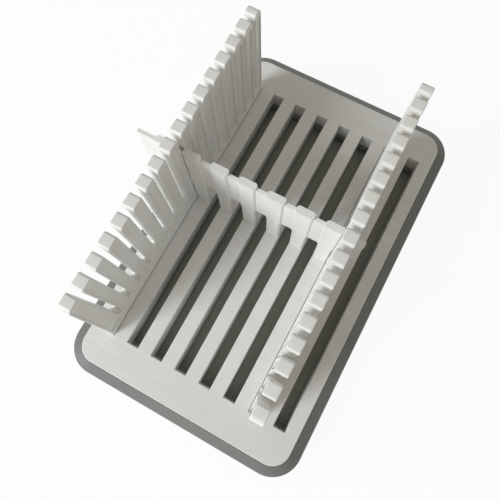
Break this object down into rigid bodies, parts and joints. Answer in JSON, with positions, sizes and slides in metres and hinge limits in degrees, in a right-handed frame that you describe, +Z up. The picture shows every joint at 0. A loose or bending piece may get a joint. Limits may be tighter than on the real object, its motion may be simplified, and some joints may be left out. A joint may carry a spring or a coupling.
{
  "type": "bread slicer guide",
  "caption": "Slotted bread board in a shallow crumb tray, with two upright comb guides that set the knife's path and a ribbed loaf stop across them.",
  "frame": {"origin": "centre of the whole footprint, the stop's overhang at the left counted in, on the surface that the feet stand on", "axes": "+Z up; +Y from the front, where the loaf's cut end faces, to the back, along the slots; +X to the right, across the slots"},
  "size_m": [0.2174, 0.3314, 0.1325],
  "materials": {
    "grey_plastic": "satin",
    "foot_rubber": "matte",
    "board_plastic": "satin, faintly brushed",
    "guide_plastic": "satin",
    "stop_plastic": "satin"
  },
  "bodies": {
    "tray": {"crumb_tray": "grey_plastic", "tray_feet": "foot_rubber"},
    "board": {"slotted_board": "board_plastic"},
    "left_guide": {"left_guide": "guide_plastic"},
    "right_guide": {"right_guide": "guide_plastic"},
    "stop": {"loaf_stop": "stop_plastic"}
  },
  "joints": [
    {"name": "board_lift", "type": "slide", "parent": "tray", "child": "board", "axis": [0, 0, 1], "range_m": [0, 0.025]},
    {"name": "left_guide_lift", "type": "slide", "parent": "board", "child": "left_guide", "axis": [0, 0, 1], "range_m": [0, 0.022]},
    {"name": "right_guide_lift", "type": "slide", "parent": "board", "child": "right_guide", "axis": [0, 0, 1], "range_m": [0, 0.022]},
    {"name": "stop_lift", "type": "slide", "parent": "board", "child": "stop", "axis": [0, 0, 1], "range_m": [0, 0.07]}
  ]
}
